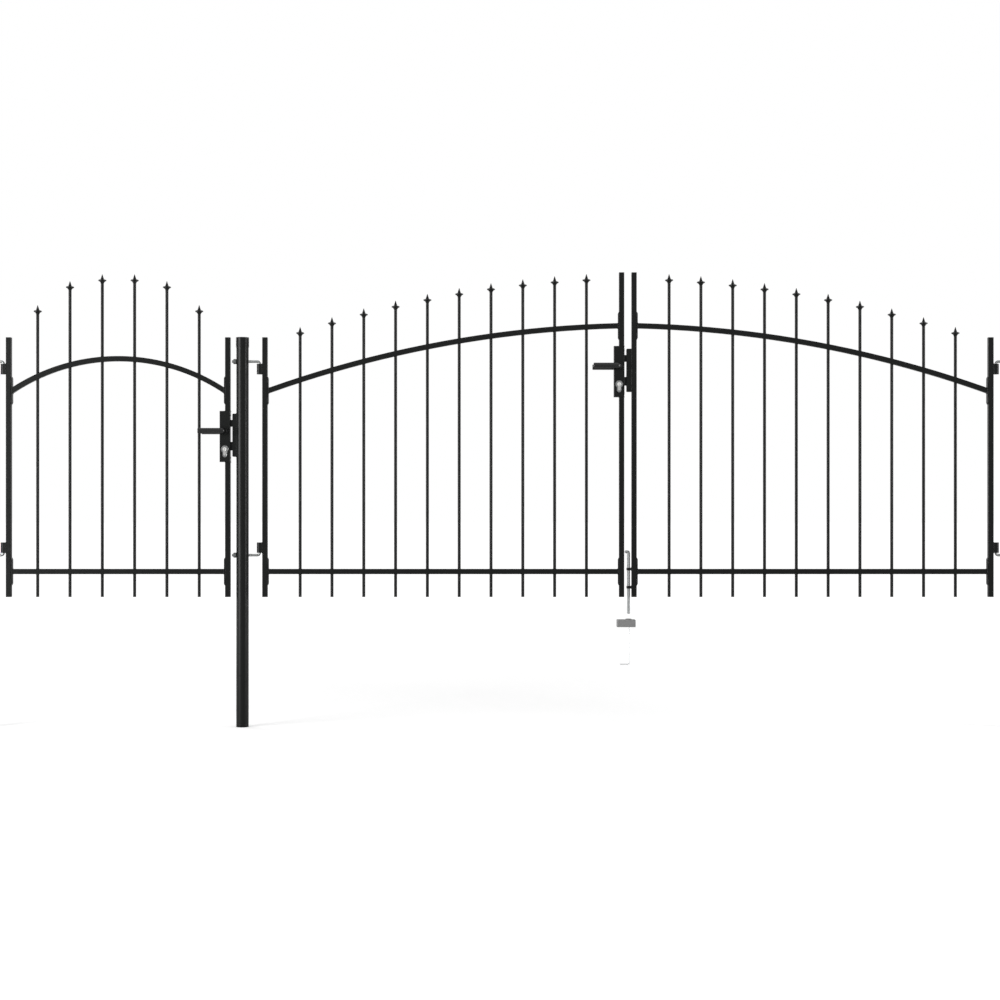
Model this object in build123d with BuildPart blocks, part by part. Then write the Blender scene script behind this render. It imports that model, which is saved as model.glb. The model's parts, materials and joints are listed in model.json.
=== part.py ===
from build123d import *

import os
from dataclasses import dataclass
from math import asin, cos, degrees, hypot, radians, sin, sqrt

# Driveway gate: a small wicket and a double gate on three round posts.
# All sizes are in millimetres. The origin is the middle of the middle post's foot.
# X runs to the right along the closed gate, Y away from the viewer, Z up.

# Posts: round tube, closed by a plug at the foot and a cap at the top
post_length = 1500
post_dia = 48
post_wall = 2
cap_wall = 1
cap_skirt = 36
cap_top = 2
cap_edge = 1.5
plug_height = 20
plug_stub = 25
plug_groove_height = 12
plug_groove_width = 1.5
plug_groove_depth = 0.8

# Leaves: square tube frames with round pickets
leaf_base = 500
wicket_width = 844
leaf_width = 1374
short_stile = 1000
tall_stile = 1250
meeting_gap = 28
latch_gap = 22
tube_size = 20
tube_wall = 1.5
tube_corner = 2
bottom_rail_height = 98
wicket_arch_ends = 786
wicket_arch_bow = 132
leaf_arch_low = 790
leaf_arch_high = 1045
leaf_arch_bow = 57
stile_plug_flange = 3
stile_plug_stub = 12
stile_plug_edge = 1

# Pickets, each with a spear on a flared collar
picket_dia = 12
picket_clearance = 0.2
wicket_picket_pitch = 124.5
wicket_spear_rises = (275, 323, 328)
leaf_picket_count = 10
leaf_picket_pitch = 122.6
leaf_spear_rise = 204
spear_height = 36
spear_collar_dia = 31
spear_flare_height = 10.5
spear_rim_height = 3.5
spear_root_dia = 13
spear_root_height = 17.5
spear_tip_dia = 1.2

# Plates between the rails and the stiles
plate_thickness = 4
plate_length = 107
plate_tip_thickness = 1
plate_taper = 7

# Hinges: a bent bolt through the post, with its pin in a barrel on the leaf
hinge_reach = 66
hinge_bolt_dia = 10
hinge_clearance = 0.3
hinge_bend = 9
hinge_bolt_end = 16
hinge_bolt_chamfer = 1.2
barrel_dia = 22
barrel_height = 40
barrel_upper = 878
barrel_lower = 190
pin_shortfall = 2
bolt_hole_clearance = 0.3
nut_across_flats = 17
nut_height = 8.4
nut_chamfer = 1.4
washer_dia = 20
washer_thickness = 2
washer_clearance = 0.1

# Locks
lock_below_top = 361
lock_width = 40
lock_depth = 30
lock_height = 196
lock_above = 77
lock_backset = 20
lock_corner = 1.5
bolt_clearance = 0.3
latch_height = 26
latch_above = 30
latch_thickness = 12
latch_length = 30
latch_bevel = 6
deadbolt_height = 33
deadbolt_below = 58
deadbolt_thickness = 10
deadbolt_length = 28
deadbolt_head = 11
deadbolt_tail = 19
keep_gap = 8.5
nose_gap = 0.3
spindle_size = 8
spindle_hole = 12
rose_dia = 31
rose_thickness = 6
rose_edge = 2
neck_dia = 20
lever_reach = 100
lever_height = 21
lever_thickness = 13
lever_standoff = 30
lever_bend = 13
lever_edge = 3.5
collar_proud = 3
cylinder_below = 70
cylinder_dia = 17
cylinder_slot = 10
cylinder_height = 33
cylinder_proud = 4
escutcheon_dia = 29
escutcheon_slot = 17
escutcheon_height = 46
escutcheon_thickness = 2.5
escutcheon_edge = 0.8
trim_clearance = 0.15

# Keeps that the bolts enter
keep_height = 166
keep_above = 67
keep_thickness = 20
keep_corner = 4
keep_pocket = 11
keep_saddle = 6
latch_pocket_clearance = 0.6
deadbolt_pocket_clearance = 2.5
saddle_clearance = 0.2

# Drop bolt on the right leaf, and its stop in the ground
drop_bolt_dia = 12
drop_bolt_bottom = -64.5
drop_bolt_top = 173
drop_bolt_bend = 9
drop_bolt_chamfer = 1.5
drop_handle_length = 40
drop_handle_turn = 80
drop_bolt_offset = 11.2
guide_dia = 16
guide_height = 10
guide_clearance = 0.3
guide_places = (37.5, 107.5)
stop_width = 71
stop_depth = 50
stop_height = 27.5
stop_top = 412.5
stop_offset = 9.4
stop_corner = 3
stop_edge = 2
stop_hole_dia = 18
stop_floor = 4
stop_rim_dia = 24
stop_rim_height = 3.5
stop_rim_edge = 1
anchor_dia = 5
anchor_length = 144
anchor_foot = 36
anchor_bend = 8
anchor_offset = 12.5


@dataclass
class Leaf:
    """One leaf, from its hinge stile (side is +1 when it runs to the right of it)."""

    hinge_x: float
    side: int
    width: float
    latch_stile: float
    arch_at_hinge: float
    arch_at_latch: float
    arch_bow: float
    picket_pitch: float
    spear_rises: tuple
    lock: bool

    def x(self, along):
        """X of a place that lies along the leaf, measured from the hinge stile's middle."""
        return self.hinge_x + self.side * along

    def lock_face(self):
        return self.x(self.width + tube_size / 2)

    def lever_z(self):
        return leaf_base + self.latch_stile - lock_below_top

    def arch(self):
        """Radius of the arch's middle line, and its centre along the leaf and in height."""
        climb = self.arch_at_latch - self.arch_at_hinge
        chord = hypot(self.width, climb)
        radius = (chord**2 / 4 + self.arch_bow**2) / (2 * self.arch_bow)
        drop = radius - self.arch_bow
        along = self.width / 2 + drop * climb / chord
        height = (self.arch_at_hinge + self.arch_at_latch) / 2 - drop * self.width / chord
        return radius, along, height

    def arch_height(self, along):
        radius, centre_along, centre_height = self.arch()
        return centre_height + sqrt(radius**2 - (along - centre_along) ** 2)

    def picket_places(self):
        count = len(self.spear_rises)
        first = self.width / 2 - self.picket_pitch * (count - 1) / 2
        return [first + self.picket_pitch * number for number in range(count)]


# Places that follow from the sizes above
post_to_stile = hinge_reach + barrel_dia / 2 + tube_size / 2
latch_to_post = tube_size / 2 + latch_gap + post_dia / 2
middle_post_x = 0
left_post_x = middle_post_x - latch_to_post - wicket_width - post_to_stile
leaf_span = 2 * post_to_stile + 2 * leaf_width + tube_size + meeting_gap
right_post_x = middle_post_x + leaf_span
hinge_bolt_hole = hinge_bolt_dia + 2 * bolt_hole_clearance
tube_bore = tube_size - 2 * tube_wall

wicket = Leaf(
    hinge_x=left_post_x + post_to_stile,
    side=1,
    width=wicket_width,
    latch_stile=short_stile,
    arch_at_hinge=wicket_arch_ends,
    arch_at_latch=wicket_arch_ends,
    arch_bow=wicket_arch_bow,
    picket_pitch=wicket_picket_pitch,
    spear_rises=wicket_spear_rises + wicket_spear_rises[::-1],
    lock=True,
)
left_leaf = Leaf(
    hinge_x=middle_post_x + post_to_stile,
    side=1,
    width=leaf_width,
    latch_stile=tall_stile,
    arch_at_hinge=leaf_arch_low,
    arch_at_latch=leaf_arch_high,
    arch_bow=leaf_arch_bow,
    picket_pitch=leaf_picket_pitch,
    spear_rises=(leaf_spear_rise,) * leaf_picket_count,
    lock=True,
)
right_leaf = Leaf(
    hinge_x=right_post_x - post_to_stile,
    side=-1,
    width=leaf_width,
    latch_stile=tall_stile,
    arch_at_hinge=leaf_arch_low,
    arch_at_latch=leaf_arch_high,
    arch_bow=leaf_arch_bow,
    picket_pitch=leaf_picket_pitch,
    spear_rises=(leaf_spear_rise,) * leaf_picket_count,
    lock=False,
)

leaves = {"wicket": wicket, "left_leaf": left_leaf, "right_leaf": right_leaf}
posts = {
    "left_post": (left_post_x, wicket),
    "middle_post": (middle_post_x, left_leaf),
    "right_post": (right_post_x, right_leaf),
}


def upright_plane(x, z):
    """A sketch plane that faces the viewer, with its origin at x and z."""
    return Plane(origin=(x, 0, z), x_dir=(1, 0, 0), z_dir=(0, -1, 0))


def hinge_bolt_heights():
    """Height of each bolt's level leg, and which way its pin points."""
    upper_leg = leaf_base + barrel_upper + barrel_height / 2 + hinge_bend
    lower_leg = leaf_base + barrel_lower - barrel_height / 2 - hinge_bend
    return [(upper_leg, -1), (lower_leg, 1)]


def post(post_x, leaf):
    """A round tube with a hole on each side for the two hinge bolts."""
    with BuildPart() as tube:
        with BuildSketch(Plane.XY.offset(plug_height)):
            with Locations((post_x, 0)):
                Circle(post_dia / 2)
                Circle(post_dia / 2 - post_wall, mode=Mode.SUBTRACT)
        extrude(amount=post_length - cap_top - plug_height)
        with BuildSketch(Plane.YZ.offset(post_x)):
            with Locations(*[(0, height) for height, _ in hinge_bolt_heights()]):
                Circle(hinge_bolt_hole / 2)
        extrude(amount=post_dia, both=True, mode=Mode.SUBTRACT)
    return tube.part


def post_caps():
    """A cap over the top of each post, and a grooved plug in its foot."""
    bore = post_dia - 2 * post_wall
    with BuildPart() as caps:
        for post_x, _ in posts.values():
            with BuildSketch(Plane.XY.offset(post_length - cap_top)):
                with Locations((post_x, 0)):
                    Circle(post_dia / 2 + cap_wall + saddle_clearance)
            extrude(amount=cap_top)
            with BuildSketch(Plane.XY.offset(post_length - cap_top)):
                with Locations((post_x, 0)):
                    Circle(post_dia / 2 + cap_wall + saddle_clearance)
                    Circle(post_dia / 2 + saddle_clearance, mode=Mode.SUBTRACT)
            extrude(amount=-cap_skirt)
            with BuildSketch(Plane.XY):
                with Locations((post_x, 0)):
                    Circle(post_dia / 2)
            extrude(amount=plug_height)
            with BuildSketch(Plane.XY.offset(plug_height)):
                with Locations((post_x, 0)):
                    Circle(bore / 2 - saddle_clearance)
            extrude(amount=plug_stub)
            with BuildSketch(Plane.XY.offset(plug_groove_height)):
                with Locations((post_x, 0)):
                    Circle(post_dia / 2)
                    Circle(post_dia / 2 - plug_groove_depth, mode=Mode.SUBTRACT)
            extrude(amount=plug_groove_width / 2, both=True, mode=Mode.SUBTRACT)
        fillet(caps.edges().group_by(Axis.Z)[-1], cap_edge)
    return caps.part


def bent_rod(route_points, dia, bend, end_chamfer):
    """A round rod along a bent line, with both of its ends chamfered."""
    first, second = [Vector(*point) for point in route_points[:2]]
    with BuildPart() as rod:
        with BuildLine() as route:
            FilletPolyline(*route_points, radius=bend)
        with BuildSketch(Plane(origin=first, z_dir=(second - first).normalized())):
            Circle(dia / 2)
        sweep(path=route.wires()[0])
        ends = [rod.faces().sort_by_distance(point)[0] for point in (route_points[0], route_points[-1])]
        chamfer([end.edges()[0] for end in ends], end_chamfer)
    return rod.part


def hinge_bolts():
    """Six bent bolts: a level leg through the post, and a pin for the barrel."""
    pin_length = barrel_height - pin_shortfall
    rods = []
    for post_x, leaf in posts.values():
        far_x = post_x - leaf.side * (post_dia / 2 + hinge_bolt_end)
        axis_x = post_x + leaf.side * hinge_reach
        for leg_z, up in hinge_bolt_heights():
            route_points = [
                (far_x, 0, leg_z),
                (axis_x, 0, leg_z),
                (axis_x, 0, leg_z + up * (hinge_bend + pin_length)),
            ]
            rods.append(bent_rod(route_points, hinge_bolt_dia, hinge_bend, hinge_bolt_chamfer))
    with BuildPart() as bolts:
        add(rods)
    return bolts.part


def nut_blank(seat):
    """A hexagon with its corners turned off at both ends."""
    with BuildPart() as blank:
        with BuildSketch(seat):
            RegularPolygon(nut_across_flats / 2, side_count=6, major_radius=False)
        extrude(amount=nut_height)
        corners = nut_across_flats / sqrt(3)
        with BuildPart(mode=Mode.INTERSECT) as turned:
            with BuildSketch(seat):
                Circle(corners)
            extrude(amount=nut_height)
            rims = turned.edges().filter_by(GeomType.CIRCLE)
            chamfer(rims, nut_chamfer / 2, nut_chamfer)
    return blank.part


def hinge_nuts():
    """A nut and washer on each bolt, against the far side of its post."""
    with BuildPart() as nuts:
        for post_x, leaf in posts.values():
            seat_x = post_x - leaf.side * (post_dia / 2 + washer_clearance)
            for leg_z, _ in hinge_bolt_heights():
                seat = Plane(origin=(seat_x, 0, leg_z), z_dir=(-leaf.side, 0, 0))
                with BuildSketch(seat):
                    Circle(washer_dia / 2)
                extrude(amount=washer_thickness)
                add(nut_blank(seat.offset(washer_thickness)))
                with BuildSketch(seat):
                    Circle(hinge_bolt_dia / 2 + washer_clearance)
                extrude(amount=washer_thickness + nut_height, mode=Mode.SUBTRACT)
    return nuts.part


def stile(x, lengths):
    """An upright square tube, in one length or more."""
    with BuildPart() as tube:
        for low, high in lengths:
            with BuildSketch(Plane.XY.offset(low)):
                with Locations((x, 0)):
                    RectangleRounded(tube_size, tube_size, tube_corner)
                    Rectangle(tube_bore, tube_bore, mode=Mode.SUBTRACT)
            extrude(amount=high - low)
    return tube.part


def hinge_stile(leaf):
    low = leaf_base + stile_plug_flange
    high = leaf_base + short_stile - stile_plug_flange
    return stile(leaf.x(0), [(low, high)])


def latch_stile(leaf):
    """The free stile, in two lengths where a lock case stands between them."""
    low = leaf_base + stile_plug_flange
    high = leaf_base + leaf.latch_stile - stile_plug_flange
    lengths = [(low, high)]
    if leaf.lock:
        case_top = leaf.lever_z() + lock_above
        lengths = [(low, case_top - lock_height), (case_top, high)]
    return stile(leaf.x(leaf.width), lengths)


def stile_plugs(leaf):
    """A flanged plug in both ends of both stiles."""
    bore = tube_bore - 2 * saddle_clearance
    ends = [
        (0, leaf_base, 1),
        (0, leaf_base + short_stile, -1),
        (leaf.width, leaf_base, 1),
        (leaf.width, leaf_base + leaf.latch_stile, -1),
    ]
    made = []
    for along, z, inward in ends:
        with BuildPart() as plug:
            with BuildSketch(Plane.XY.offset(z)):
                with Locations((leaf.x(along), 0)):
                    RectangleRounded(tube_size, tube_size, tube_corner)
            extrude(amount=inward * stile_plug_flange)
            outer = plug.faces().sort_by_distance((leaf.x(along), 0, z))[0]
            fillet(outer.edges(), stile_plug_edge)
            with BuildSketch(Plane.XY.offset(z + inward * stile_plug_flange)):
                with Locations((leaf.x(along), 0)):
                    Rectangle(bore, bore)
            extrude(amount=inward * stile_plug_stub)
        made.append(plug.part)
    with BuildPart() as plugs:
        add(made)
    return plugs.part


def rail_ends(leaf):
    """X of the two faces that a rail runs between, left one first."""
    inset = tube_size / 2 + plate_thickness
    return sorted([leaf.x(inset), leaf.x(leaf.width - inset)])


def picket_holes(leaf):
    """The round holes that the pickets need, from the leaf's base to above its arch."""
    with BuildPart() as holes:
        with BuildSketch(Plane.XY.offset(leaf_base)):
            with Locations(*[(leaf.x(along), 0) for along in leaf.picket_places()]):
                Circle(picket_dia / 2 + picket_clearance)
        extrude(amount=tall_stile)
    return holes.part


def bottom_rail(leaf):
    left, right = rail_ends(leaf)
    z = leaf_base + bottom_rail_height
    holes = picket_holes(leaf)
    with BuildPart() as rail:
        with BuildSketch(Plane.YZ.offset(left)):
            with Locations((0, z)):
                RectangleRounded(tube_size, tube_size, tube_corner)
                Rectangle(tube_bore, tube_bore, mode=Mode.SUBTRACT)
        extrude(amount=right - left)
        add(holes, mode=Mode.SUBTRACT)
    return rail.part


def arch_rail(leaf):
    """A square tube bent to a round arch, ended square on the plates."""
    radius, centre_along, centre_height = leaf.arch()
    centre_x = leaf.x(centre_along)
    centre_z = leaf_base + centre_height
    left, right = rail_ends(leaf)
    start, stop = [
        degrees(asin((end_x - centre_x) / radius))
        for end_x in (left - tube_size, right + tube_size)
    ]
    outward = Vector(sin(radians(start)), 0, cos(radians(start)))
    section = Plane(
        origin=Vector(centre_x, 0, centre_z) + outward * radius,
        x_dir=outward,
        z_dir=outward.cross(Vector(0, 1, 0)),
    )
    holes = picket_holes(leaf)
    with BuildPart() as rail:
        with BuildSketch(section):
            RectangleRounded(tube_size, tube_size, tube_corner)
            Rectangle(tube_bore, tube_bore, mode=Mode.SUBTRACT)
        revolve(axis=Axis((centre_x, 0, centre_z), (0, 1, 0)), revolution_arc=stop - start)
        with Locations(((left + right) / 2, 0, centre_z + radius)):
            Box(right - left, 2 * tube_size, 2 * radius, mode=Mode.INTERSECT)
        add(holes, mode=Mode.SUBTRACT)
    return rail.part


def pickets(leaf):
    """Round bars, each drawn out into a spear above a flared collar."""
    rod = picket_dia / 2
    collar = spear_collar_dia / 2
    with BuildPart() as row:
        for along, rise in zip(leaf.picket_places(), leaf.spear_rises):
            tip = leaf.arch_height(along) + rise
            neck = tip - spear_height
            flare = neck + spear_flare_height
            with BuildSketch(upright_plane(leaf.x(along), leaf_base)):
                with BuildLine():
                    Polyline((0, tip), (0, 0), (rod, 0), (rod, neck))
                    ThreePointArc(
                        (rod, neck),
                        (rod + (collar - rod) * 0.35, neck + spear_flare_height * 0.65),
                        (collar, flare),
                    )
                    Polyline(
                        (collar, flare),
                        (collar, flare + spear_rim_height),
                        (spear_root_dia / 2, neck + spear_root_height),
                        (spear_tip_dia / 2, tip),
                        (0, tip),
                    )
                make_face()
            revolve(axis=Axis((leaf.x(along), 0, 0), (0, 0, 1)))
    return row.part


def end_plates(leaf):
    """Tapered plates that carry the ends of both rails on the stiles."""
    half = plate_length / 2
    face = tube_size / 2
    with BuildPart() as plates:
        for along, inward in [(face, 1), (leaf.width - face, -1)]:
            heights = [bottom_rail_height, leaf.arch_height(along + inward * plate_thickness)]
            for height in heights:
                out = leaf.side * inward
                with BuildSketch(upright_plane(leaf.x(along), leaf_base + height)):
                    with BuildLine():
                        Polyline(
                            (0, -half),
                            (out * plate_tip_thickness, -half),
                            (out * plate_thickness, plate_taper - half),
                            (out * plate_thickness, half - plate_taper),
                            (out * plate_tip_thickness, half),
                            (0, half),
                            close=True,
                        )
                    make_face()
                extrude(amount=tube_size / 2, both=True)
    return plates.part


def hinge_barrels(leaf):
    """Two barrels on the outer face of the hinge stile."""
    axis_x = leaf.x(-(tube_size + barrel_dia) / 2)
    with BuildPart() as barrels:
        for height in (barrel_lower, barrel_upper):
            with BuildSketch(Plane.XY.offset(leaf_base + height)):
                with Locations((axis_x, 0)):
                    Circle(barrel_dia / 2)
                with Locations((axis_x + leaf.side * barrel_dia / 4, 0)):
                    Rectangle(barrel_dia / 2, barrel_dia)
                with Locations((axis_x, 0)):
                    Circle(hinge_bolt_dia / 2 + hinge_clearance, mode=Mode.SUBTRACT)
            extrude(amount=barrel_height / 2, both=True)
    return barrels.part


def cylinder_outline(round_dia, slot, height, gap=0):
    """A round head over a narrower rounded leg, around the middle of the head."""
    foot = height - round_dia / 2 - slot / 2
    with BuildSketch() as outline:
        Circle(round_dia / 2 + gap)
        with Locations((0, -foot / 2)):
            Rectangle(slot + 2 * gap, foot)
        with Locations((0, -foot)):
            Circle(slot / 2 + gap)
    return outline.sketch


def lock_case(leaf):
    """The lock's box, with channels for both bolts, the spindle and the cylinder."""
    face = leaf.lock_face()
    lever_z = leaf.lever_z()
    middle_x = face - leaf.side * lock_width / 2
    axis_x = face - leaf.side * lock_backset
    keyhole = cylinder_outline(cylinder_dia, cylinder_slot, cylinder_height, trim_clearance)
    with BuildPart() as case:
        with BuildSketch(Plane.XY.offset(lever_z + lock_above)):
            with Locations((middle_x, 0)):
                RectangleRounded(lock_width, lock_depth, lock_corner)
        extrude(amount=-lock_height)
        with BuildSketch(Plane.YZ.offset(face)):
            with Locations((0, lever_z + latch_above)):
                Rectangle(latch_thickness + 2 * bolt_clearance, latch_height + 2 * bolt_clearance)
        extrude(amount=-leaf.side * (latch_length + bolt_clearance), mode=Mode.SUBTRACT)
        with BuildSketch(Plane.YZ.offset(face)):
            with Locations((0, lever_z - deadbolt_below)):
                Rectangle(
                    deadbolt_thickness + 2 * bolt_clearance,
                    deadbolt_height + 2 * bolt_clearance,
                )
        extrude(amount=-leaf.side * (deadbolt_length + bolt_clearance), mode=Mode.SUBTRACT)
        with BuildSketch(upright_plane(axis_x, lever_z)):
            Circle(spindle_hole / 2)
        extrude(amount=lock_depth, both=True, mode=Mode.SUBTRACT)
        with BuildSketch(upright_plane(axis_x, lever_z - cylinder_below)):
            add(keyhole)
        extrude(amount=lock_depth, both=True, mode=Mode.SUBTRACT)
    return case.part


def lock_cylinder(leaf):
    """The key cylinder, and an escutcheon around it on both faces of the case."""
    axis_x = leaf.lock_face() - leaf.side * lock_backset
    head_z = leaf.lever_z() - cylinder_below
    profile = cylinder_outline(cylinder_dia, cylinder_slot, cylinder_height)
    keyhole = cylinder_outline(cylinder_dia, cylinder_slot, cylinder_height, trim_clearance)
    plate = cylinder_outline(escutcheon_dia, escutcheon_slot, escutcheon_height)
    plates = []
    for facing in (1, -1):
        with BuildPart() as escutcheon:
            with BuildSketch(upright_plane(axis_x, head_z).offset(facing * lock_depth / 2)):
                add(plate)
            extrude(amount=facing * escutcheon_thickness)
            chamfer(escutcheon.edges().group_by(Axis.Y)[0 if facing > 0 else -1], escutcheon_edge)
            with BuildSketch(upright_plane(axis_x, head_z)):
                add(keyhole)
            extrude(amount=facing * lock_depth, mode=Mode.SUBTRACT)
        plates.append(escutcheon.part)
    with BuildPart() as cylinder:
        with BuildSketch(upright_plane(axis_x, head_z)):
            add(profile)
        extrude(amount=lock_depth / 2 + cylinder_proud, both=True)
        add(plates)
    return cylinder.part


def lock_roses(leaf):
    """The round rose on each face of the case, around the lever's neck."""
    axis_x = leaf.lock_face() - leaf.side * lock_backset
    with BuildPart() as roses:
        for facing in (1, -1):
            with BuildSketch(upright_plane(axis_x, leaf.lever_z()).offset(facing * lock_depth / 2)):
                Circle(rose_dia / 2)
            extrude(amount=facing * rose_thickness)
        outer = roses.edges().group_by(Axis.Y)
        fillet(outer[0] + outer[-1], rose_edge)
        with BuildSketch(upright_plane(axis_x, leaf.lever_z())):
            Circle(neck_dia / 2 + bolt_clearance)
        extrude(amount=lock_depth, both=True, mode=Mode.SUBTRACT)
    return roses.part


def lever_arm(leaf, facing):
    """A collar, a neck and an arm with a flattened round section, bent to an L."""
    axis_x = leaf.lock_face() - leaf.side * lock_backset
    z = leaf.lever_z()
    case_y = -facing * lock_depth / 2
    rose_y = case_y - facing * rose_thickness
    arm_y = case_y - facing * lever_standoff
    neck_start = (axis_x, rose_y - facing * bolt_clearance, z)
    with BuildPart() as arm:
        with BuildLine() as route:
            FilletPolyline(
                neck_start,
                (axis_x, arm_y, z),
                (axis_x - leaf.side * lever_reach, arm_y, z),
                radius=lever_bend,
            )
        with BuildSketch(Plane(origin=neck_start, x_dir=(1, 0, 0), z_dir=(0, -facing, 0))):
            Ellipse(lever_thickness / 2, lever_height / 2)
        sweep(path=route.wires()[0])
        tip = arm.faces().sort_by(Axis.X)[0 if leaf.side > 0 else -1]
        fillet(tip.edges(), lever_edge)
        collar_start = upright_plane(axis_x, z).offset(facing * (lock_depth / 2 + bolt_clearance))
        with BuildSketch(collar_start):
            Circle(neck_dia / 2)
        extrude(amount=facing * (rose_thickness + collar_proud))
    return arm.part


def lever(leaf):
    """A lever on each face of the lock, joined by the square spindle."""
    axis_x = leaf.lock_face() - leaf.side * lock_backset
    arms = [lever_arm(leaf, facing) for facing in (1, -1)]
    with BuildPart() as levers:
        with BuildSketch(upright_plane(axis_x, leaf.lever_z())):
            Rectangle(spindle_size, spindle_size)
        extrude(amount=lock_depth / 2 + rose_thickness, both=True)
        add(arms)
    return levers.part


def latch_bolt(leaf):
    """The sprung latch, bevelled on the side that meets the keep first."""
    nose_x = leaf.lock_face() + leaf.side * (keep_gap - nose_gap)
    half = latch_thickness / 2
    back = -leaf.side * latch_length
    with BuildPart() as bolt:
        with BuildSketch(Plane(origin=(nose_x, 0, leaf.lever_z() + latch_above))):
            with BuildLine():
                Polyline(
                    (0, -half),
                    (0, half - latch_bevel),
                    (-leaf.side * latch_bevel, half),
                    (back, half),
                    (back, -half),
                    close=True,
                )
            make_face()
        extrude(amount=latch_height / 2, both=True)
    return bolt.part


def deadbolt(leaf):
    """The locking bolt, whose tail passes over the cylinder."""
    nose_x = leaf.lock_face() + leaf.side * (keep_gap - nose_gap)
    top = deadbolt_height / 2
    head = -leaf.side * deadbolt_head
    back = -leaf.side * (deadbolt_length - bolt_clearance)
    with BuildPart() as bolt:
        with BuildSketch(upright_plane(nose_x, leaf.lever_z() - deadbolt_below)):
            with BuildLine():
                Polyline(
                    (0, top),
                    (0, -top),
                    (head, -top),
                    (head, top - deadbolt_tail),
                    (back, top - deadbolt_tail),
                    (back, top),
                    close=True,
                )
            make_face()
        extrude(amount=deadbolt_thickness / 2, both=True)
    return bolt.part


def keep(lock_leaf, depth):
    """The keep that faces a lock: a block with a pocket for each bolt."""
    side = lock_leaf.side
    face_x = lock_leaf.lock_face() + side * keep_gap
    lever_z = lock_leaf.lever_z()
    latch_pocket = (latch_thickness, latch_height, latch_pocket_clearance)
    deadbolt_pocket = (deadbolt_thickness, deadbolt_height, deadbolt_pocket_clearance)
    pockets = [
        (lever_z + latch_above, *latch_pocket),
        (lever_z - deadbolt_below, *deadbolt_pocket),
    ]
    middle_z = lever_z + keep_above - keep_height / 2
    with BuildPart() as block:
        with BuildSketch(upright_plane(face_x + side * depth / 2, middle_z)):
            outline = Rectangle(depth, keep_height)
            free = outline.vertices().group_by(Axis.X)[0 if side > 0 else -1]
            fillet(free, keep_corner)
        extrude(amount=keep_thickness / 2, both=True)
        for z, thickness, height, clearance in pockets:
            with BuildSketch(Plane.YZ.offset(face_x)):
                with Locations((0, z)):
                    Rectangle(thickness + 2 * clearance, height + 2 * clearance)
            extrude(amount=side * keep_pocket, mode=Mode.SUBTRACT)
    return block.part


def middle_post_keep():
    """The wicket's keep, hollowed at the back to fit the round post."""
    block_to_fit = keep(wicket, latch_gap - keep_gap + keep_saddle)
    with BuildPart() as block:
        add(block_to_fit)
        with BuildSketch(Plane.XY):
            with Locations((middle_post_x, 0)):
                Circle(post_dia / 2 + saddle_clearance)
        extrude(amount=post_length, mode=Mode.SUBTRACT)
    return block.part


def right_leaf_keep():
    """The left leaf's keep, on the outer face of the right leaf's free stile."""
    return keep(left_leaf, meeting_gap - keep_gap)


drop_bolt_x = right_leaf.lock_face() - drop_bolt_offset


def bolt_guides():
    """Two eyes on the right leaf's free stile that the drop bolt slides in."""
    with BuildPart() as guides:
        for height in guide_places:
            with BuildSketch(Plane.XY.offset(leaf_base + height)):
                with Locations((drop_bolt_x, 0)):
                    Circle(guide_dia / 2)
                with Locations((drop_bolt_x + drop_bolt_offset / 2, 0)):
                    Rectangle(drop_bolt_offset, guide_dia)
                with Locations((drop_bolt_x, 0)):
                    Circle(drop_bolt_dia / 2 + guide_clearance, mode=Mode.SUBTRACT)
            extrude(amount=guide_height / 2, both=True)
    return guides.part


def drop_bolt():
    """A round bar, bent over at the top into a handle behind the leaves."""
    turn = radians(drop_handle_turn)
    bottom = leaf_base + drop_bolt_bottom
    top = leaf_base + drop_bolt_top
    handle_x = drop_bolt_x - drop_handle_length * cos(turn)
    handle_y = drop_handle_length * sin(turn)
    route_points = [(drop_bolt_x, 0, bottom), (drop_bolt_x, 0, top), (handle_x, handle_y, top)]
    return bent_rod(route_points, drop_bolt_dia, drop_bolt_bend, drop_bolt_chamfer)


def ground_stop():
    """The block that takes the drop bolt, with a raised rim around its hole."""
    with BuildPart() as block:
        with BuildSketch(Plane.XY.offset(stop_top)):
            with Locations((drop_bolt_x - stop_offset, 0)):
                RectangleRounded(stop_width, stop_depth, stop_corner)
        extrude(amount=-stop_height)
        fillet(block.edges().group_by(Axis.Z)[-1], stop_edge)
        with BuildSketch(Plane.XY.offset(stop_top)):
            with Locations((drop_bolt_x, 0)):
                Circle(stop_rim_dia / 2)
        extrude(amount=stop_rim_height)
        fillet(block.edges().group_by(Axis.Z)[-1], stop_rim_edge)
        with BuildSketch(Plane.XY.offset(stop_top - stop_height + stop_floor)):
            with Locations((drop_bolt_x, 0)):
                Circle(stop_hole_dia / 2)
        extrude(amount=stop_height + stop_rim_height, mode=Mode.SUBTRACT)
    return block.part


def ground_anchor():
    """The thin hooked rod under the stop."""
    top = stop_top - stop_height
    anchor_x = drop_bolt_x - stop_offset + anchor_offset
    with BuildPart() as anchor:
        with BuildLine() as route:
            FilletPolyline(
                (anchor_x, 0, top),
                (anchor_x, 0, top - anchor_length),
                (anchor_x - anchor_foot, 0, top - anchor_length),
                radius=anchor_bend,
            )
        with BuildSketch(Plane.XY.offset(top)):
            with Locations((anchor_x, 0)):
                Circle(anchor_dia / 2)
        sweep(path=route.wires()[0])
    return anchor.part


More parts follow.
